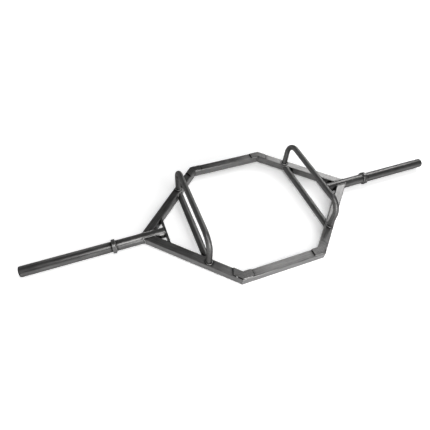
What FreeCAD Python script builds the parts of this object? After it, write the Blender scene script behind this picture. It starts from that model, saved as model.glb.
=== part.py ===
import FreeCAD, Part
import math
import os

# Hex trap bar: a welded six-sided frame that a lifter stands in, with two pairs of grips
# and a sleeve for weight plates on each side.
# X runs along the sleeves, Y to the back and Z up, in millimetres.
# The origin is on the floor, below the middle of the bar.

os.makedirs("parts", exist_ok=True)
Vector = FreeCAD.Vector
UP = Vector(0, 0, 1)

# Six-sided frame, measured along the middle lines of its square tubes
front_half_length = 200.0
frame_half_depth = 350.0
side_point_reach = 550.0
rail_width = 40.0
rail_height = 40.0
rail_wall = 3.0
rail_corner_radius = 4.0
rail_bore_radius = 1.0

# Plates on the frame's corners, set in from the rails' outer edges to leave room for the welds
corner_plate_arm = 46.0
corner_plate_outer_margin = 6.0
corner_plate_inner_margin = 1.0
corner_plate_thickness = 6.0
corner_plate_edge_radius = 1.0

# Sleeve tubes, turned down a little over the length that takes the weight plates
sleeve_tube_diameter = 50.0
sleeve_tube_wall = 4.0
sleeve_diameter = 49.0
loadable_length = 390.0

# Stop rings on the sleeve tubes, placed outward from the frame's side points
collar_standoff = 137.0
collar_diameter = 66.0
collar_width = 16.0
collar_edge_radius = 2.0

# Upright plates at the inner ends of the sleeve tubes, placed inward from the side points
cross_plate_setback = 104.0
cross_plate_thickness = 8.0
cross_plate_height = 42.0

# Plugs in the outer ends of the sleeve tubes
plug_flange_thickness = 4.0
plug_flange_inset = 0.5
plug_flange_radius = 2.0
plug_spigot_length = 20.0

# Grips
handle_spacing = 630.0
low_handle_diameter = 32.0
low_handle_wall = 3.0
raised_handle_diameter = 27.0
raised_handle_wall = 2.5
raised_grip_height = 150.0
raised_bend_radius = 70.0

# Weld beads and the gap left between round pieces that are welded together
weld_leg = 3.0
fit_gap = 0.2

# How near two places count as the same
same_place = 0.02

# Places that follow from the sizes above
axis_height = collar_diameter / 2
rail_top = axis_height + rail_height / 2
handle_offset = handle_spacing / 2
sleeve_tube_radius = sleeve_tube_diameter / 2
sleeve_bore_radius = sleeve_tube_radius - sleeve_tube_wall
sleeve_radius = sleeve_diameter / 2
cross_plate_reach = side_point_reach - cross_plate_setback
collar_inner_face = side_point_reach + collar_standoff
collar_outer_face = collar_inner_face + collar_width
sleeve_tube_reach = collar_outer_face + loadable_length
trim_block_size = 2 * (side_point_reach + frame_half_depth)
SIDES = {"left": -1, "right": 1}
ENDS = {"front": -1, "rear": 1}


def save(name, solids):
    """Write one solid, or a group of solids, as a node of the part."""
    shape = solids[0] if len(solids) == 1 else Part.makeCompound(solids)
    shape.exportStep(os.path.join("parts", name + ".step"))


def frame_corner(side, end):
    """Middle line corner of the frame at the height of the sleeve axis."""
    return Vector(side * front_half_length, end * frame_half_depth, axis_height)


def side_point(side):
    """Where the middle lines of two diagonal rails meet on the sleeve axis."""
    return Vector(side * side_point_reach, 0, axis_height)


def unit(vector):
    """Same direction, one long."""
    return Vector(vector).normalize()


def across(direction):
    """Level direction square to a level direction, turned to the left of it."""
    return UP.cross(direction)


def rounded_section(start, direction, width, height, radius):
    """Rectangle with rounded corners, square to a level direction."""
    half_w = width / 2
    half_h = height / 2
    flat_w = half_w - radius
    flat_h = half_h - radius
    slant = radius * math.sqrt(0.5)
    side = across(direction)

    def place(u, v):
        return start + side * u + UP * v

    edges = []
    for su, sv in ((1, 1), (-1, 1), (-1, -1), (1, -1)):
        wide = place(su * half_w, sv * flat_h)
        high = place(su * flat_w, sv * half_h)
        bulge = place(su * (flat_w + slant), sv * (flat_h + slant))
        if su == sv:
            edges.append(Part.Arc(wide, bulge, high).toShape())
            edges.append(Part.LineSegment(high, place(-su * flat_w, sv * half_h)).toShape())
        else:
            edges.append(Part.Arc(high, bulge, wide).toShape())
            edges.append(Part.LineSegment(wide, place(su * half_w, -sv * flat_h)).toShape())
    return Part.Face(Part.Wire(edges))


def square_tube(start, end, overrun):
    """Hollow square tube along a middle line, run past both of its ends."""
    direction = unit(end - start)
    first = start - direction * overrun
    length = (end - start).Length + 2 * overrun
    outside = rounded_section(first, direction, rail_width, rail_height, rail_corner_radius)
    bore_width = rail_width - 2 * rail_wall
    bore_height = rail_height - 2 * rail_wall
    inside = rounded_section(first, direction, bore_width, bore_height, rail_bore_radius)
    return outside.extrude(direction * length).cut(inside.extrude(direction * length))


def block_beyond(point, direction):
    """Large block with one face through a point, on the side that a level direction points to."""
    size = trim_block_size
    side = across(direction)
    corner = point - side * (size / 2) - UP * (size / 2)
    face = Part.makePolygon([corner, corner + side * size, corner + side * size + UP * size,
                             corner + UP * size, corner])
    return Part.Face(face).extrude(direction * size)


def mitre_block(corner, kept_neighbour, other_neighbour):
    """Block that trims a rail at the plane that halves the frame's corner."""
    toward_kept = unit(kept_neighbour - corner)
    toward_other = unit(other_neighbour - corner)
    return block_beyond(corner, unit(toward_other - toward_kept))


def sleeve_clearance(side):
    """Round space that the sleeve tube takes up, with the gap for welding."""
    radius = sleeve_tube_radius + fit_gap
    return Part.makeCylinder(radius, sleeve_tube_reach, Vector(0, 0, axis_height), Vector(side, 0, 0))


def cross_rail(end):
    """Front or rear rail, mitred at both corners."""
    left = frame_corner(-1, end)
    right = frame_corner(1, end)
    rail = square_tube(left, right, rail_width)
    rail = rail.cut(mitre_block(left, right, side_point(-1)))
    return rail.cut(mitre_block(right, left, side_point(1)))


def diagonal_rail(side, end):
    """Diagonal rail, mitred at the frame's corner and coped round the sleeve tube."""
    corner = frame_corner(side, end)
    point = side_point(side)
    rail = square_tube(corner, point, rail_width)
    rail = rail.cut(mitre_block(corner, point, frame_corner(-side, end)))
    rail = rail.cut(block_beyond(point, Vector(0, -end, 0)))
    return rail.cut(sleeve_clearance(side))


def flat_plate(points, bottom, thickness):
    """Plate cut to an outline that lies level, with its lower face at the given height."""
    outline = [Vector(p.x, p.y, bottom) for p in points]
    return Part.Face(Part.makePolygon(outline + outline[:1])).extrude(UP * thickness)


def round_top_edges(plate, top, radius):
    """Break the edges all round the upper face of a plate."""
    edges = [e for e in plate.Edges if all(abs(v.Z - top) < same_place for v in e.Vertexes)]
    return plate.makeFillet(radius, edges)


def corner_plate(side, end):
    """Angled plate on top of a mitred corner: one arm ends square, the other along the mitre."""
    corner = frame_corner(side, end)
    toward_front = unit(frame_corner(-side, end) - corner)
    toward_side = unit(side_point(side) - corner)
    middle = unit(toward_front + toward_side)
    half_angle = toward_front.getAngle(toward_side) / 2
    inner_width = rail_width / 2 - corner_plate_inner_margin
    outer_width = rail_width / 2 - corner_plate_outer_margin
    inner_tip = middle * (inner_width / math.sin(half_angle))
    outer_tip = middle * (-outer_width / math.sin(half_angle))
    inward = unit(middle - toward_front * middle.dot(toward_front))
    front_arm = corner + toward_front * corner_plate_arm
    side_arm = corner + toward_side * corner_plate_arm
    outline = [corner + inner_tip, front_arm + inward * inner_width, front_arm - inward * outer_width,
               corner + outer_tip, side_arm + outer_tip, side_arm + inner_tip]
    plate = flat_plate(outline, rail_top, corner_plate_thickness)
    return round_top_edges(plate, rail_top + corner_plate_thickness, corner_plate_edge_radius)


def rail_inner_face(side, end):
    """A point on a diagonal rail's inner side face, and the level direction that it faces."""
    corner = frame_corner(side, end)
    along = unit(side_point(side) - corner)
    facing = across(along)
    if facing.y * end > 0:
        facing = facing * -1
    return corner + facing * (rail_width / 2), facing


def inner_face_depth(side, x):
    """Distance from the sleeve axis to a rail's inner side face, at a place along X."""
    point, facing = rail_inner_face(side, 1)
    return point.y - (x - point.x) * facing.x / facing.y


def cross_plate(side):
    """Upright plate between the inner faces of two diagonal rails."""
    inner_x = side * cross_plate_reach
    outer_x = side * (cross_plate_reach + cross_plate_thickness)
    inner_y = inner_face_depth(side, inner_x)
    outer_y = inner_face_depth(side, outer_x)
    outline = [Vector(inner_x, -inner_y, 0), Vector(inner_x, inner_y, 0),
               Vector(outer_x, outer_y, 0), Vector(outer_x, -outer_y, 0)]
    return flat_plate(outline, axis_height - cross_plate_height / 2, cross_plate_height)


def pipe_on_axis(side, start_x, end_x, outer_radius, inner_radius):
    """Round pipe or ring on the sleeve axis, between two distances from the middle."""
    start = Vector(side * start_x, 0, axis_height)
    direction = Vector(side, 0, 0)
    length = end_x - start_x
    outside = Part.makeCylinder(outer_radius, length, start, direction)
    return outside.cut(Part.makeCylinder(inner_radius, length, start, direction))


def edges_at_radius(solid, radius, places):
    """Round edges of a given radius that lie at given distances from the middle."""
    found = []
    for edge in solid.Edges:
        is_round = isinstance(edge.Curve, Part.Circle) and abs(edge.Curve.Radius - radius) < same_place
        if is_round and any(abs(abs(edge.Curve.Center.x) - x) < same_place for x in places):
            found.append(edge)
    return found


def sleeve_tube(side):
    """Round tube from the cross plate out to its open end, thinner beyond the stop ring."""
    start_x = cross_plate_reach + cross_plate_thickness
    inner = pipe_on_axis(side, start_x, collar_outer_face, sleeve_tube_radius, sleeve_bore_radius)
    outer = pipe_on_axis(side, collar_outer_face, sleeve_tube_reach, sleeve_radius, sleeve_bore_radius)
    return inner.fuse(outer).removeSplitter()


def collar(side):
    """Stop ring that keeps the weight plates off the frame."""
    radius = collar_diameter / 2
    bore_radius = sleeve_tube_radius + fit_gap
    ring = pipe_on_axis(side, collar_inner_face, collar_outer_face, radius, bore_radius)
    rims = edges_at_radius(ring, radius, (collar_inner_face, collar_outer_face))
    return ring.makeFillet(collar_edge_radius, rims)


def end_plug(side):
    """Plug with a thin flange over the sleeve tube's end and a spigot in its bore."""
    flange_radius = sleeve_radius - plug_flange_inset
    outer_face = sleeve_tube_reach + plug_flange_thickness
    direction = Vector(side, 0, 0)
    seat = Vector(side * sleeve_tube_reach, 0, axis_height)
    flange = Part.makeCylinder(flange_radius, plug_flange_thickness, seat, direction)
    flange = flange.makeFillet(plug_flange_radius, edges_at_radius(flange, flange_radius, (outer_face,)))
    spigot_radius = sleeve_bore_radius - fit_gap
    spigot = Part.makeCylinder(spigot_radius, plug_spigot_length, seat, direction * -1)
    return flange.fuse(spigot).removeSplitter()


def low_handle_seat(side, end):
    """Where a low grip's middle line meets a rail's inner face, and the direction that face looks."""
    x = side * handle_offset
    facing = rail_inner_face(side, end)[1]
    return Vector(x, end * inner_face_depth(side, x), axis_height), facing


def low_handle_bar(side, radius):
    """Round bar along a low grip, cut to the inner faces of its two rails."""
    start = Vector(side * handle_offset, -frame_half_depth, axis_height)
    bar = Part.makeCylinder(radius, 2 * frame_half_depth, start, Vector(0, 1, 0))
    for end in ENDS.values():
        seat, facing = low_handle_seat(side, end)
        bar = bar.cut(block_beyond(seat, facing * -1))
    return bar


def low_handle(side):
    """Straight grip tube at the height of the frame."""
    radius = low_handle_diameter / 2
    return low_handle_bar(side, radius).cut(low_handle_bar(side, radius - low_handle_wall))


def raised_foot_depth():
    """Distance from the sleeve axis to the foot of a raised grip, on its rail's middle line."""
    run = side_point_reach - front_half_length
    return frame_half_depth * (side_point_reach - handle_offset) / run


def raised_handle_path(side):
    """Middle line of a raised grip: a leg, a bend, the grip, a bend and a leg."""
    x = side * handle_offset
    depth = raised_foot_depth()
    grip = rail_top + raised_grip_height
    bend_start = grip - raised_bend_radius
    bend_end = depth - raised_bend_radius
    slant = raised_bend_radius * math.sqrt(0.5)

    def leg_and_bend(end):
        foot = Vector(x, end * depth, rail_top)
        low = Vector(x, end * depth, bend_start)
        middle = Vector(x, end * (bend_end + slant), bend_start + slant)
        high = Vector(x, end * bend_end, grip)
        return foot, low, middle, high

    foot_a, low_a, middle_a, high_a = leg_and_bend(-1)
    foot_b, low_b, middle_b, high_b = leg_and_bend(1)
    edges = [Part.LineSegment(foot_a, low_a).toShape(), Part.Arc(low_a, middle_a, high_a).toShape(),
             Part.LineSegment(high_a, high_b).toShape(), Part.Arc(high_b, middle_b, low_b).toShape(),
             Part.LineSegment(low_b, foot_b).toShape()]
    return Part.Wire(edges)


def raised_handle(side):
    """Bent grip tube that stands on the tops of two diagonal rails."""
    path = raised_handle_path(side)
    foot = Vector(side * handle_offset, -raised_foot_depth(), rail_top)

    def sweep(radius):
        circle = Part.Wire(Part.makeCircle(radius, foot, UP))
        return path.makePipe(Part.Face(circle))

    radius = raised_handle_diameter / 2
    return sweep(radius).cut(sweep(radius - raised_handle_wall))


def ring_bead(base, direction, tube_radius):
    """Weld bead round a tube that stands square on a face."""
    radius = tube_radius + fit_gap
    bead = Part.makeCone(radius + weld_leg, radius, weld_leg, base, direction)
    return bead.cut(Part.makeCylinder(radius, weld_leg, base, direction))


def raised_handle_bead(side, end):
    """Weld bead round a foot of a raised grip."""
    foot = Vector(side * handle_offset, end * raised_foot_depth(), rail_top)
    return ring_bead(foot, UP, raised_handle_diameter / 2)


def collar_bead(side):
    """Weld bead on the frame's side of a stop ring."""
    base = Vector(side * collar_inner_face, 0, axis_height)
    return ring_bead(base, Vector(-side, 0, 0), sleeve_tube_radius)


def slanted_ring(centre, facing, short_radius, long_radius):
    """Upright ellipse on a level-facing plane, long across and short upward."""
    ellipse = Part.Ellipse(centre + across(facing) * long_radius, centre + UP * short_radius, centre)
    return Part.Wire(ellipse.toShape())


def low_handle_bead(side, end):
    """Weld bead round the slanted end of a low grip, on its rail's inner face."""
    seat, facing = low_handle_seat(side, end)
    radius = low_handle_diameter / 2 + fit_gap
    stretch = 1 / abs(facing.y)
    upper_centre = seat + Vector(0, -end, 0) * (weld_leg * stretch)
    wide = slanted_ring(seat, facing, radius + weld_leg, radius * stretch + weld_leg)
    narrow = slanted_ring(upper_centre, facing, radius, radius * stretch)
    bead = Part.makeLoft([wide, narrow], True, True)
    start = Vector(side * handle_offset, end * frame_half_depth, axis_height)
    return bead.cut(Part.makeCylinder(radius, frame_half_depth, start, Vector(0, -end, 0)))


def build():
    for end_name, end in ENDS.items():
        save(end_name + "_rail", [cross_rail(end)])
        for side_name, side in SIDES.items():
            save(end_name + "_" + side_name + "_rail", [diagonal_rail(side, end)])
            save(end_name + "_" + side_name + "_corner_plate", [corner_plate(side, end)])
    for side_name, side in SIDES.items():
        save(side_name + "_cross_plate", [cross_plate(side)])
        save(side_name + "_sleeve_tube", [sleeve_tube(side)])
        save(side_name + "_collar", [collar(side)])
        save(side_name + "_end_plug", [end_plug(side)])
        save(side_name + "_low_handle", [low_handle(side)])
        save(side_name + "_raised_handle", [raised_handle(side)])
    feet = [(side, end) for side in SIDES.values() for end in ENDS.values()]
    save("raised_handle_welds", [raised_handle_bead(side, end) for side, end in feet])
    save("low_handle_welds", [low_handle_bead(side, end) for side, end in feet])
    save("collar_welds", [collar_bead(side) for side in SIDES.values()])


build()
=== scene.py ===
import bpy
import math
from mathutils import Matrix, Vector


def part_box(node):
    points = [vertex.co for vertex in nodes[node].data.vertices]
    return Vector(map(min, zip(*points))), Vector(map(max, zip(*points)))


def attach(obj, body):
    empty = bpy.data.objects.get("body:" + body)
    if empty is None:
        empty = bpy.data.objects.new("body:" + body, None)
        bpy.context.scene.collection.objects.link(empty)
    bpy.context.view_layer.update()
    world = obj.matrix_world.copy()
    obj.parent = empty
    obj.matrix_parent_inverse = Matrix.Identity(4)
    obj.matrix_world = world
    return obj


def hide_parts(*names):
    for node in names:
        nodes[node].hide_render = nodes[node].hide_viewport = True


# Hex trap bar in satin gunmetal paint, with rippled weld beads and black end plugs.
# Metres, with X along the sleeves, Y to the back and Z up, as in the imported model.

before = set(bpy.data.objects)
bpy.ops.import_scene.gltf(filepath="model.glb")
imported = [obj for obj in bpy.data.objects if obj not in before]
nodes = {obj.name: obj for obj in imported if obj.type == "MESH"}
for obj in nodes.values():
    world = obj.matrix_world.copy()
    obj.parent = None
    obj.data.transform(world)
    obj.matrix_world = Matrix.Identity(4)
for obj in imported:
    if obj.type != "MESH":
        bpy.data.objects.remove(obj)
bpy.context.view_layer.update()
SIDES = {"left": -1, "right": 1}
ENDS = {"front": -1, "rear": 1}

# Camera, as fitted to the edges of the bar in the photograph
image_width_px = 430
focal_length_px = 336.9
sensor_width_mm = 36.0
camera_place = Vector((-0.6146, -0.9474, 1.3518))
camera_azimuth = math.radians(-23.71)
camera_elevation = math.radians(51.26)
camera_roll = math.radians(3.75)

# Weld beads
fillet_radius = 0.0031
seam_radius = 0.0021
seam_proud = 0.0007
mitre_end_gap = 0.0031
plate_seam_radius = 0.0036
stitch_radius = 0.0048
stitch_length = 0.009
rail_stitch_places = (0.24, 0.68)
slant_stitch_places = (0.46,)
ripple_pitch = 0.0034
ripple_height = 0.15
ripple_least = 0.6
ripple_most = 1.2
ripple_seed = 4
ring_spacing = 0.0006
bead_sides = 10
end_roundness = 5.0
end_least_area = 0.04
curve_points = 96
arc_points = 24

# The rails turn by this much at each corner of the frame
corner_turn = math.radians(45)

# Satin paint: its greys, its marks to the metre, and how far each mark shows in tone, gloss and relief
paint_dark = 0.086
paint_light = 0.156
paint_warmth = 0.01
paint_metal = 0.8
streak_scale = 190.0
mottle_scale = 19.0
flake_scale = 1500.0
peel_scale = 380.0
streak_stretch = (0.05, 1.0, 1.0)
tone_low = 0.39
tone_high = 0.61
tone_mottle = 0.25
tone_streaks = 0.6
tone_flake = 0.15
gloss_mottle = 0.6
gloss_streaks = 0.4
relief_peel = 0.7
relief_flake = 0.3
peel_strength = 0.12
relief_depth = 0.0003

# Noise lies mostly between these two levels
noise_low = 0.3
noise_high = 0.7

# Rubbed edges, and painted shade that darkens the inner corners
wear_width = 0.0022
wear_start = 0.985
wear_full = 0.86
wear_patch_scale = 70.0
wear_patch_low = 0.50
wear_patch_high = 0.68
bare_steel_grey = 0.36
bare_steel_warmth = 0.015
painted_shade_grey = 0.006
painted_shade_warmth = 0.06
painted_shade_reach = 0.016
painted_shade_start = 0.96
painted_shade_full = 0.81

# Black plug plastic
plastic_dark = 0.006
plastic_light = 0.014
plastic_worn = 0.09
plastic_wear_width = 0.0016
plastic_wear = 0.5
plastic_scuff_low = 0.35
plastic_smooth = 0.5
plastic_rough = 0.66
plastic_shine = 0.2
plastic_rim = 0.3
plastic_grain_scale = 1100.0
plastic_scuff_scale = 45.0
plastic_grain_strength = 0.35

# Floor and studio
floor_size = 80.0
paper_grey = 0.92
paper_rough = 0.9
lit_floor_middle = (0.15, 0.12, 0.0)
lit_floor_reach = 0.2
white_floor_reach = 2.8
lit_floor_glow = 0.16
horizon_top = math.radians(3)
horizon_fade = math.radians(24)
horizon_light = 1.0
room_light = 0.03
studio_aim = Vector((0.0, 0.0, 0.08))


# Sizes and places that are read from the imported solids
def middle(node):
    low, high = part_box(node)
    return (low + high) / 2


def extent(node):
    low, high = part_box(node)
    return high - low


rail_low, rail_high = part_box("front_rail")
rail_half = (rail_high.y - rail_low.y) / 2
rail_top = rail_high.z
rail_bottom = rail_low.z
frame_depth = -middle("front_rail").y
mitre_shift = rail_half * math.tan(corner_turn / 2)
corner_x = rail_high.x - mitre_shift
side_point_x = corner_x + frame_depth / math.tan(corner_turn)
rail_skew = rail_half / math.sin(corner_turn)
axis_height = middle("right_sleeve_tube").z
tube_radius = extent("right_sleeve_tube").z / 2
collar_inner_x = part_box("right_collar")[0].x
plate_inner_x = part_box("right_cross_plate")[0].x
plate_outer_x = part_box("right_cross_plate")[1].x
plate_half_height = extent("right_cross_plate").z / 2
handle_x = middle("right_low_handle").x
low_radius = extent("right_low_handle").x / 2
low_seat_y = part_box("right_low_handle")[1].y - low_radius
raised_radius = extent("right_raised_handle").x / 2
raised_foot_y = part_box("right_raised_handle")[1].y - raised_radius
plate_low, plate_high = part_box("front_right_corner_plate")
corner_plate_arm = corner_x - plate_low.x
corner_plate_outer = -plate_low.y - frame_depth
corner_plate_inner = plate_high.y + frame_depth - corner_plate_arm * math.sin(corner_turn)


# Paths that the weld beads follow: each is a list of points and whether it is closed
def ring(centre, half_across, half_up):
    """Closed path round a centre, from two half axes."""
    angles = [2 * math.pi * step / curve_points for step in range(curve_points)]
    return [centre + half_across * math.cos(angle) + half_up * math.sin(angle) for angle in angles], True


def line(start, end):
    return [start, end], False


def foot_rings():
    """Round the feet of the raised grips, on the tops of the rails."""
    return [ring(Vector((side * handle_x, end * raised_foot_y, rail_top)),
                 Vector((raised_radius, 0, 0)), Vector((0, raised_radius, 0)))
            for side in SIDES.values() for end in ENDS.values()]


def low_handle_rings():
    """Round the slanted ends of the low grips, on the inner faces of the rails."""
    return [ring(Vector((side * handle_x, end * low_seat_y, axis_height)),
                 Vector((low_radius, -side * end * low_radius, 0)), Vector((0, 0, low_radius)))
            for side in SIDES.values() for end in ENDS.values()]


def collar_rings():
    """Round the sleeve tubes, on the frame's side of the stop rings."""
    return [ring(Vector((side * collar_inner_x, 0, axis_height)),
                 Vector((0, tube_radius, 0)), Vector((0, 0, tube_radius))) for side in SIDES.values()]


def tube_arc(side, end, cut_at, limit):
    """Half round a sleeve tube, where a slanted rail face or a square plate cuts it."""
    angles = [limit * (1 - 2 * step / (arc_points - 1)) for step in range(arc_points)]
    return [Vector((side * cut_at(tube_radius * math.cos(angle)), end * tube_radius * math.cos(angle),
                    axis_height + tube_radius * math.sin(angle))) for angle in angles]


def cope_loops():
    """Round the ends of the diagonal rails, where they are cut to the sleeve tubes."""
    limit = math.asin(rail_half / tube_radius)
    loops = []
    for side in SIDES.values():
        for end in ENDS.values():
            outer = tube_arc(side, end, lambda y: side_point_x + rail_skew - y, limit)
            inner = tube_arc(side, end, lambda y: side_point_x - rail_skew - y, limit)
            loops.append((outer + inner[::-1], True))
    return loops


def cross_plate_lines():
    """Up the ends of the cross plates, and round the sleeve tubes that stand on them."""
    found = []
    limit = math.asin(plate_half_height / tube_radius)
    for side in SIDES.values():
        for end in ENDS.values():
            for x in (plate_inner_x, plate_outer_x):
                y = end * (side_point_x - rail_skew - x)
                found.append(line(Vector((side * x, y, rail_bottom)), Vector((side * x, y, rail_top))))
            found.append((tube_arc(side, end, lambda y: plate_outer_x, limit), False))
    return found


def stitches(start, end, places):
    """Short beads spread along an edge, with bare gaps between them."""
    half = (end - start).normalized() * (stitch_length / 2)
    centres = [start + (end - start) * share for share in places]
    return [line(centre - half, centre + half) for centre in centres]


def corner_plate_edge(side, end, slanted, reach):
    """Long edge of one arm of a corner plate, from the arm's end to the plate's own corner."""
    corner = Vector((side * corner_x, end * frame_depth, rail_top))
    if slanted:
        along = Vector((side * math.cos(corner_turn), -end * math.sin(corner_turn), 0))
        outward = Vector((side * math.sin(corner_turn), end * math.cos(corner_turn), 0))
    else:
        along = Vector((-side, 0, 0))
        outward = Vector((0, end, 0))
    base = corner + outward * reach
    return base + along * corner_plate_arm, base - along * reach * math.tan(corner_turn / 2)


def corner_plate_seams():
    """Long beads on both edges of the arms that lie on the front and rear rails."""
    return [line(*corner_plate_edge(side, end, False, reach)) for side in SIDES.values()
            for end in ENDS.values() for reach in (corner_plate_outer, -corner_plate_inner)]


def corner_plate_stitches():
    """Short beads along the outer edges of the corner plates."""
    found = []
    for side in SIDES.values():
        for end in ENDS.values():
            for slanted, places in ((False, rail_stitch_places), (True, slant_stitch_places)):
                found += stitches(*corner_plate_edge(side, end, slanted, corner_plate_outer), places)
    return found


def mitre_seams():
    """Nearly flush beads on the mitres: up the outer and inner faces and across the underside."""
    found = []
    sink = seam_radius - seam_proud
    low = Vector((0, 0, rail_bottom + mitre_end_gap))
    high = Vector((0, 0, rail_top - mitre_end_gap))
    under = Vector((0, 0, rail_bottom + sink))
    reach = rail_half - sink
    shift = reach * math.tan(corner_turn / 2)
    for side in SIDES.values():
        for end in ENDS.values():
            outer = Vector((side * (corner_x + shift), end * (frame_depth + reach), 0))
            inner = Vector((side * (corner_x - shift), end * (frame_depth - reach), 0))
            for face in (outer, inner):
                found.append(line(face + low, face + high))
            gap = (inner - outer).normalized() * mitre_end_gap
            found.append(line(outer + gap + under, inner - gap + under))
    return found


# Node trees, for the beads' shapes and for the finishes
class NodeTree:
    """Short ways to add and join nodes in a tree."""

    def __init__(self, tree):
        self.tree = tree

    def add(self, kind, inputs=None, **settings):
        node = self.tree.nodes.new(kind)
        for name, value in settings.items():
            setattr(node, name, value)
        for key, value in (inputs or {}).items():
            socket = self.socket(node.inputs, key)
            if isinstance(value, bpy.types.NodeSocket):
                self.tree.links.new(value, socket)
            else:
                socket.default_value = value
        return node

    def socket(self, sockets, key):
        """A socket by its number, or by its name among those in use."""
        if isinstance(key, int):
            return sockets[key]
        return next(socket for socket in sockets if socket.name == key and socket.enabled)

    def math(self, operation, a, b=0.0):
        return self.add("ShaderNodeMath", {0: a, 1: b}, operation=operation).outputs[0]

    def weighed(self, *pairs):
        """Sum of values, each times its weight."""
        total = 0.0
        for value, weight in pairs:
            total = self.math("ADD", total, self.math("MULTIPLY", value, weight))
        return total


# Weld beads, made with geometry nodes
def ripples(make, given, along):
    """Thickness along a bead, with uneven ripples that overlap like scales."""
    length = make.add("GeometryNodeSplineLength").outputs["Length"]
    count = make.math("MAXIMUM", make.math("ROUND", make.math("DIVIDE", length, given["Ripple pitch"])), 1.0)
    place = make.math("MULTIPLY", along, count)
    share = make.math("FRACT", place)
    swell = make.math("SUBTRACT", 1.0, make.math("MULTIPLY", share, share))
    uneven = make.add("FunctionNodeRandomValue",
                      {"Min": ripple_least, "Max": ripple_most, "ID": make.math("FLOOR", place),
                       "Seed": ripple_seed}, data_type="FLOAT")
    height = make.math("MULTIPLY", make.math("MULTIPLY", swell, make.socket(uneven.outputs, "Value")),
                       given["Ripple height"])
    return make.math("ADD", make.math("SUBTRACT", 1.0, given["Ripple height"]), height)


def rounded_ends(make, given, along):
    """Thickness that falls off at the two ends of an open bead, and stays whole on a closed one."""
    from_middle = make.math("ABSOLUTE", make.math("SUBTRACT", make.math("MULTIPLY", along, 2.0), 1.0))
    fall = make.math("POWER", from_middle, given["End roundness"])
    ended = make.math("SQRT", make.math("MAXIMUM", make.math("SUBTRACT", 1.0, fall), end_least_area))
    endless = make.add("GeometryNodeInputSplineCyclic").outputs["Cyclic"]
    return make.math("MAXIMUM", ended, endless)


def weld_bead_tree(paint):
    """A round bead along each path."""
    tree = bpy.data.node_groups.new("weld_bead", "GeometryNodeTree")
    tree.interface.new_socket("Paths", in_out="INPUT", socket_type="NodeSocketGeometry")
    for name in ("Bead radius", "Ripple pitch", "Ripple height", "Ring spacing", "End roundness"):
        tree.interface.new_socket(name, in_out="INPUT", socket_type="NodeSocketFloat")
    tree.interface.new_socket("Sides", in_out="INPUT", socket_type="NodeSocketInt")
    tree.interface.new_socket("Beads", in_out="OUTPUT", socket_type="NodeSocketGeometry")
    make = NodeTree(tree)
    given = make.add("NodeGroupInput").outputs
    rings = make.add("GeometryNodeResampleCurve", {"Curve": given["Paths"], "Length": given["Ring spacing"]},
                     mode="LENGTH")
    along = make.add("GeometryNodeSplineParameter").outputs["Factor"]
    scale = make.math("MULTIPLY", ripples(make, given, along), rounded_ends(make, given, along))
    profile = make.add("GeometryNodeCurvePrimitiveCircle",
                       {"Resolution": given["Sides"], "Radius": given["Bead radius"]}, mode="RADIUS")
    bead = make.add("GeometryNodeCurveToMesh", {"Curve": rings.outputs["Curve"], "Scale": scale,
                                                "Profile Curve": profile.outputs["Curve"], "Fill Caps": True})
    smooth = make.add("GeometryNodeSetShadeSmooth", {"Geometry": bead.outputs["Mesh"], "Shade Smooth": True})
    real = make.add("GeometryNodeRealizeInstances", {"Geometry": smooth.outputs["Geometry"]})
    painted = make.add("GeometryNodeSetMaterial", {"Geometry": real.outputs["Geometry"], "Material": paint})
    make.add("NodeGroupOutput", {"Beads": painted.outputs["Geometry"]})
    return tree


def path_object(name, paths):
    curve = bpy.data.curves.new(name, "CURVE")
    curve.dimensions = "3D"
    for points, closed in paths:
        spline = curve.splines.new("POLY")
        spline.points.add(len(points) - 1)
        spline.use_cyclic_u = closed
        for place, point in zip(spline.points, points):
            place.co = (*point, 1)
    made = bpy.data.objects.new(name, curve)
    bpy.context.scene.collection.objects.link(made)
    return made


def weld(name, paths, radius, tree, replaced=()):
    """Weld beads along some paths, as one plain mesh that rides on the frame."""
    guide = path_object(name + "_path", paths)
    modifier = guide.modifiers.new("beads", "NODES")
    modifier.node_group = tree
    sizes = {"Bead radius": radius, "Ripple pitch": ripple_pitch, "Ripple height": ripple_height,
             "Ring spacing": ring_spacing, "Sides": bead_sides, "End roundness": end_roundness}
    for item in tree.interface.items_tree:
        if item.name in sizes:
            modifier[item.identifier] = sizes[item.name]
    seen = guide.evaluated_get(bpy.context.evaluated_depsgraph_get())
    mesh = bpy.data.meshes.new_from_object(seen)
    mesh.name = name
    guide.modifiers.remove(modifier)
    bpy.data.objects.remove(guide)
    made = bpy.data.objects.new(name, mesh)
    bpy.context.scene.collection.objects.link(made)
    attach(made, "root")
    if replaced:
        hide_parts(*replaced)


# Finishes
def new_material(name):
    made = bpy.data.materials.new(name)
    made.use_nodes = True
    make = NodeTree(made.node_tree)
    return made, make, made.node_tree.nodes["Principled BSDF"]


def noise(make, where, scale, detail=2.0, roughness=0.5):
    return make.add("ShaderNodeTexNoise", {"Vector": where, "Scale": scale, "Detail": detail,
                                           "Roughness": roughness}).outputs["Fac"]


def spread(make, value, low, high, to_low=0.0, to_high=1.0):
    """A value stretched from one range to another and kept inside it."""
    return make.add("ShaderNodeMapRange", {"Value": value, "From Min": low, "From Max": high,
                                           "To Min": to_low, "To Max": to_high}).outputs["Result"]


def blend(make, share, a, b):
    mixed = make.add("ShaderNodeMix", {"Factor": share, "A": a, "B": b}, data_type="RGBA")
    return make.socket(mixed.outputs, "Result")


def grey(level, warmth=0.0):
    return (level * (1 + warmth), level, level * (1 - warmth), 1.0)


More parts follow.
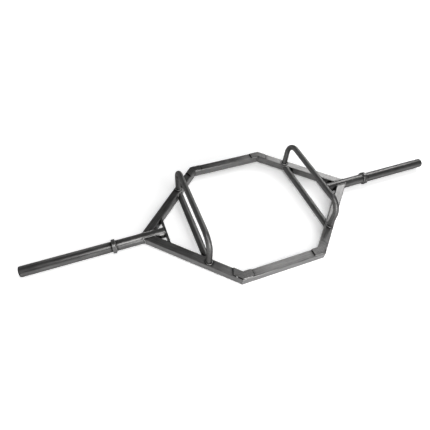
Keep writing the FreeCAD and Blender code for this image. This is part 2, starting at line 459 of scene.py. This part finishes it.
def edge_wear(make, where, width, amount):
    """How far the surface is rubbed, which is only near sharp edges and uneven along them."""
    rounded = make.add("ShaderNodeBevel", {"Radius": width}, samples=6).outputs["Normal"]
    flat = make.add("ShaderNodeNewGeometry").outputs["Normal"]
    dot = make.add("ShaderNodeVectorMath", {0: rounded, 1: flat}, operation="DOT_PRODUCT").outputs["Value"]
    edge = spread(make, dot, wear_start, wear_full)
    patches = noise(make, where, wear_patch_scale, detail=6.0, roughness=0.65)
    uneven = spread(make, patches, wear_patch_low, wear_patch_high)
    return make.math("MULTIPLY", make.math("MULTIPLY", edge, uneven), amount)


def corner_shade_mask(make):
    """How far a place lies inside an inner corner, which sets the painted shade that darkens the paint there.
    """
    openness = make.add("ShaderNodeAmbientOcclusion", {"Distance": painted_shade_reach}, samples=8).outputs["AO"]
    return spread(make, openness, painted_shade_start, painted_shade_full)


def add_relief(make, shader, height, strength):
    """Fine bumps that only turn the light."""
    bump = make.add("ShaderNodeBump", {"Height": height, "Strength": strength, "Distance": relief_depth})
    make.tree.links.new(bump.outputs["Normal"], shader.inputs["Normal"])


def gunmetal(name, run=(1.0, 1.0, 1.0), turn=0.0, smooth=0.28, rough=0.38, wear=0.6, lightness=1.0,
             corner_shade_amount=0.9, rim=0.3):
    """Satin paint with metal flake, orange peel, marks along the tube, rubbed edges and painted shade in the
    inner corners.

    Its streaks are stretched by run and turned by turn. Wear is how far the edges are rubbed, the corner
    shade amount how far the inner corners are darkened with painted shade, and rim how bright the paint is at
    a flat angle.
    """
    made, make, shader = new_material(name)
    where = make.add("ShaderNodeTexCoord").outputs["Object"]
    lined_up = make.add("ShaderNodeMapping", {"Vector": where, "Rotation": (0, 0, -turn)}).outputs[0]
    drawn_out = make.add("ShaderNodeMapping", {"Vector": lined_up, "Scale": run}).outputs[0]
    streaks = noise(make, drawn_out, streak_scale, detail=4.0, roughness=0.65)
    mottle = noise(make, where, mottle_scale, detail=5.0, roughness=0.6)
    flake = noise(make, where, flake_scale, detail=1.0)
    peel = noise(make, where, peel_scale, roughness=0.55)
    tone = make.weighed((mottle, tone_mottle), (streaks, tone_streaks), (flake, tone_flake))
    paint = blend(make, spread(make, tone, tone_low, tone_high), grey(paint_dark * lightness, paint_warmth),
                  grey(paint_light * lightness, paint_warmth))
    worn = edge_wear(make, where, wear_width, wear)
    rubbed = blend(make, worn, paint, grey(bare_steel_grey, bare_steel_warmth))
    # Painted shade: the paint is darkened to near black in the inner corners
    corner_shade_share = make.math("MULTIPLY", corner_shade_mask(make), corner_shade_amount)
    colour = blend(make, corner_shade_share, rubbed, grey(painted_shade_grey, painted_shade_warmth))
    make.tree.links.new(colour, shader.inputs["Base Color"])
    gloss = make.weighed((mottle, gloss_mottle), (streaks, gloss_streaks))
    make.tree.links.new(spread(make, gloss, noise_low, noise_high, smooth, rough), shader.inputs["Roughness"])
    relief = make.weighed((peel, relief_peel), (flake, relief_flake))
    add_relief(make, shader, relief, peel_strength)
    shader.inputs["Metallic"].default_value = paint_metal
    shader.inputs["Specular Tint"].default_value = grey(rim)
    return made


def moulded_plastic(name):
    """Black end plug plastic with a fine moulded grain and a scuffed rim."""
    made, make, shader = new_material(name)
    where = make.add("ShaderNodeTexCoord").outputs["Object"]
    grain = noise(make, where, plastic_grain_scale)
    scuff = noise(make, where, plastic_scuff_scale, detail=5.0, roughness=0.65)
    scuffed = spread(make, scuff, plastic_scuff_low, noise_high)
    black = blend(make, scuffed, grey(plastic_dark), grey(plastic_light))
    worn = edge_wear(make, where, plastic_wear_width, plastic_wear)
    make.tree.links.new(blend(make, worn, black, grey(plastic_worn)), shader.inputs["Base Color"])
    gloss = spread(make, scuff, noise_low, noise_high, plastic_smooth, plastic_rough)
    make.tree.links.new(gloss, shader.inputs["Roughness"])
    add_relief(make, shader, grain, plastic_grain_strength)
    shader.inputs["Specular IOR Level"].default_value = plastic_shine
    shader.inputs["Specular Tint"].default_value = grey(plastic_rim)
    return made


def coat(node, material):
    """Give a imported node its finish."""
    slots = nodes[node].data.materials
    slots.clear()
    slots.append(material)


def paint_rails():
    # The front and rear rails are drawn lighter than the slanted rails: painted light on the same paint
    cross_rail_lit_paint = gunmetal("cross_rail_paint", streak_stretch, lightness=1.09, rim=1.0)
    for end_name, end in ENDS.items():
        coat(end_name + "_rail", cross_rail_lit_paint)
        for side_name, side in SIDES.items():
            rail = f"{end_name}_{side_name}_rail"
            coat(rail, gunmetal(rail + "_paint", streak_stretch, -side * end * corner_turn, rim=0.8))


def paint_plates_and_sleeves():
    plate_paint = gunmetal("plate_paint", wear=0.8)
    sleeve_paint = gunmetal("sleeve_paint", streak_stretch, wear=0.7, rim=0.15)
    plug_plastic = moulded_plastic("plug_plastic")
    for side_name in SIDES:
        for end_name in ENDS:
            coat(f"{end_name}_{side_name}_corner_plate", plate_paint)
        coat(side_name + "_cross_plate", plate_paint)
        coat(side_name + "_collar", plate_paint)
        coat(side_name + "_sleeve_tube", sleeve_paint)
        coat(side_name + "_end_plug", plug_plastic)


def paint_grips():
    """The grips are duller than the rails, and drawn darker than them: painted shade on the same paint."""
    dull_and_shaded = {"smooth": 0.36, "rough": 0.48, "lightness": 0.79}
    low_grip_paint = gunmetal("low_grip_paint", streak_stretch, math.pi / 2, **dull_and_shaded)
    raised_grip_paint = gunmetal("raised_grip_paint", **dull_and_shaded)
    for side_name in SIDES:
        coat(side_name + "_low_handle", low_grip_paint)
        coat(side_name + "_raised_handle", raised_grip_paint)


def weld_pieces():
    # The weld paint is drawn much lighter than the frame's paint, as a painted highlight on the beads, with
    # only a little painted shade in their corners
    tree = weld_bead_tree(gunmetal("weld_paint", wear=0.3, lightness=1.7, corner_shade_amount=0.15, rim=0.8))
    weld("raised_handle_beads", foot_rings(), fillet_radius, tree, ["raised_handle_welds"])
    weld("low_handle_beads", low_handle_rings(), fillet_radius, tree, ["low_handle_welds"])
    weld("collar_beads", collar_rings(), fillet_radius, tree, ["collar_welds"])
    weld("sleeve_beads", cope_loops(), fillet_radius, tree)
    weld("cross_plate_beads", cross_plate_lines(), fillet_radius, tree)
    weld("corner_plate_beads", corner_plate_seams(), plate_seam_radius, tree)
    weld("corner_plate_stitches", corner_plate_stitches(), stitch_radius, tree)
    weld("mitre_beads", mitre_seams(), seam_radius, tree)


# Camera, floor and light
def direction(azimuth, elevation):
    """Unit vector, with its azimuth counted from +X towards +Y."""
    level = math.cos(elevation)
    return Vector((math.cos(azimuth) * level, math.sin(azimuth) * level, math.sin(elevation)))


def camera():
    """Camera that looks down by its elevation, and round from +Y by its azimuth."""
    ahead = direction(camera_azimuth + math.pi / 2, -camera_elevation)
    level = direction(camera_azimuth, 0)
    above = level.cross(ahead)
    right = level * math.cos(camera_roll) + above * math.sin(camera_roll)
    up = above * math.cos(camera_roll) - level * math.sin(camera_roll)
    data = bpy.data.cameras.new("camera")
    data.sensor_width = sensor_width_mm
    data.lens = sensor_width_mm * focal_length_px / image_width_px
    made = bpy.data.objects.new("camera", data)
    made.matrix_world = Matrix.Translation(camera_place) @ Matrix((right, up, -ahead)).transposed().to_4x4()
    bpy.context.scene.collection.objects.link(made)
    bpy.context.scene.camera = made


def seen_directly(make):
    """One for rays that show the floor or the room as they are, and nought for the other rays."""
    ray = make.add("ShaderNodeLightPath").outputs
    return make.math("MAXIMUM", make.math("MAXIMUM", ray["Is Camera Ray"], ray["Is Glossy Ray"]),
                     ray["Is Transmission Ray"])


def white_paper():
    """Paper that the lamps light round the bar, and that shows white by itself further out."""
    made, make, shader = new_material("white_paper")
    shader.inputs["Base Color"].default_value = grey(paper_grey)
    shader.inputs["Roughness"].default_value = paper_rough
    shader.inputs["Specular IOR Level"].default_value = 0.0
    shader.inputs["Emission Color"].default_value = grey(1.0)
    where = make.add("ShaderNodeTexCoord").outputs["Object"]
    away = make.add("ShaderNodeVectorMath", {0: where, 1: lit_floor_middle}, operation="DISTANCE")
    glow = spread(make, away.outputs["Value"], lit_floor_reach, white_floor_reach, lit_floor_glow, 1.0)
    make.tree.links.new(make.math("MULTIPLY", seen_directly(make), glow), shader.inputs["Emission Strength"])
    return made


def floor():
    half = floor_size / 2
    corners = [(-half, -half, 0), (half, -half, 0), (half, half, 0), (-half, half, 0)]
    mesh = bpy.data.meshes.new("floor")
    mesh.from_pydata(corners, [], [(0, 1, 2, 3)])
    mesh.materials.append(white_paper())
    made = bpy.data.objects.new("floor", mesh)
    bpy.context.scene.collection.objects.link(made)


def room():
    """Dim room with a white horizon, which only shows where it is seen or mirrored."""
    world = bpy.data.worlds.new("room")
    bpy.context.scene.world = world
    world.use_nodes = True
    make = NodeTree(world.node_tree)
    background = world.node_tree.nodes["Background"]
    background.inputs["Color"].default_value = grey(1.0)
    way = make.add("ShaderNodeTexCoord").outputs["Generated"]
    height = make.socket(make.add("ShaderNodeSeparateXYZ", {"Vector": way}).outputs, "Z")
    shown = spread(make, height, math.sin(horizon_top), math.sin(horizon_fade), horizon_light, room_light)
    level = make.add("ShaderNodeMix", {"Factor": seen_directly(make), "A": room_light, "B": shown},
                     data_type="FLOAT")
    make.tree.links.new(make.socket(level.outputs, "Result"), background.inputs["Strength"])


def soft_box(name, azimuth, elevation, distance, width, height, power):
    """Soft light that faces the bar, with its angles in degrees."""
    toward = direction(math.radians(azimuth), math.radians(elevation))
    data = bpy.data.lights.new(name, "AREA")
    data.shape = "RECTANGLE"
    data.size = width
    data.size_y = height
    data.energy = power
    made = bpy.data.objects.new(name, data)
    turned = toward.to_track_quat("Z", "Y").to_matrix().to_4x4()
    made.matrix_world = Matrix.Translation(studio_aim + toward * distance) @ turned
    made.visible_camera = False
    bpy.context.scene.collection.objects.link(made)


def studio():
    soft_box("key_light", azimuth=37, elevation=33, distance=2.5, width=1.4, height=0.9, power=22)
    soft_box("side_key_light", azimuth=20, elevation=28, distance=2.5, width=0.6, height=0.6, power=6)
    soft_box("high_key_light", azimuth=40, elevation=58, distance=2.5, width=0.9, height=0.7, power=8)
    soft_box("front_light", azimuth=284, elevation=48, distance=2.5, width=1.0, height=0.9, power=14)
    soft_box("camera_side_light", azimuth=244, elevation=60, distance=2.5, width=0.8, height=1.4, power=28)
    soft_box("low_front_light", azimuth=270, elevation=17, distance=2.0, width=0.9, height=0.9, power=31)
    soft_box("back_light", azimuth=123, elevation=28, distance=2.5, width=0.65, height=1.1, power=3)
    bpy.context.scene.view_settings.view_transform = "Standard"


paint_rails()
paint_plates_and_sleeves()
paint_grips()
weld_pieces()
camera()
floor()
room()
studio()
